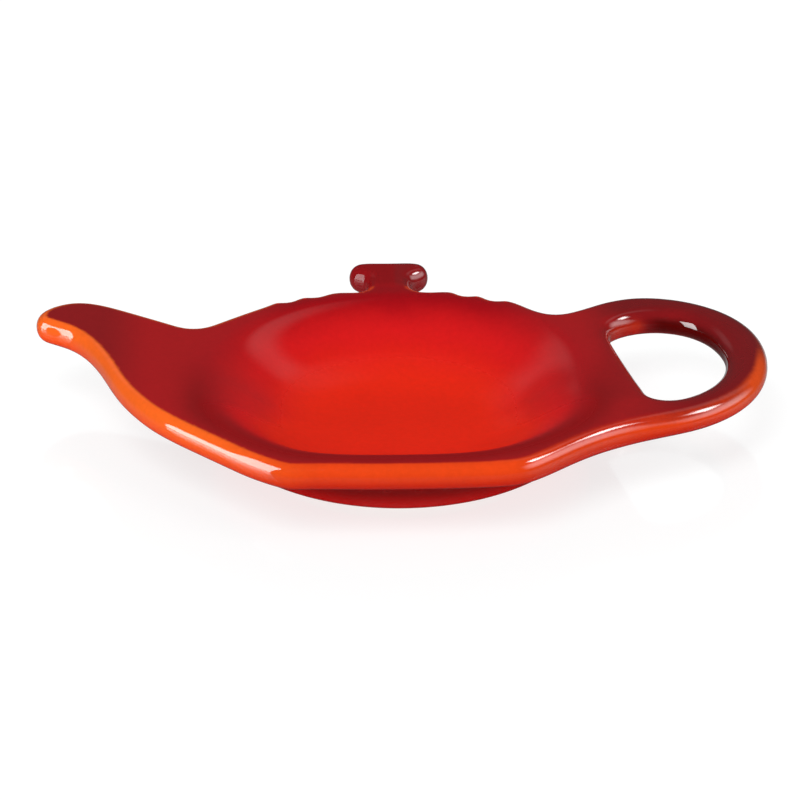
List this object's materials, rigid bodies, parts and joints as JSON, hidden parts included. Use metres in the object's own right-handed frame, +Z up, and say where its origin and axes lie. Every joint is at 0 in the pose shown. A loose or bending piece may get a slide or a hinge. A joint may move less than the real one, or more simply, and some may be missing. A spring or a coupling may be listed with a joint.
{
  "type": "tea bag rest",
  "caption": "Glazed stoneware rest for a used tea bag: a shallow dished well in a flat rim shaped like a teapot, with a spout, a finger loop handle and a lid knob.",
  "frame": {"origin": "centre of the foot ring's ground face, on the table under the middle of the well", "axes": "+X to the finger loop handle, +Y to the lid knob, +Z up out of the well"},
  "size_m": [0.1573, 0.1049, 0.0194],
  "materials": {
    "glaze_well": "gloss glaze, bright red where it is thin",
    "glaze_rim": "gloss glaze, dark red on the level faces and orange where it thins over the edges",
    "bare_clay": "unglazed, ground flat"
  },
  "bodies": {
    "root": {"foot_ring": "bare_clay", "well_floor": "glaze_well", "well_wall": "glaze_well", "rim": "glaze_rim", "spout": "glaze_rim", "handle": "glaze_rim", "lid_knob": "glaze_rim"}
  },
  "joints": []
}
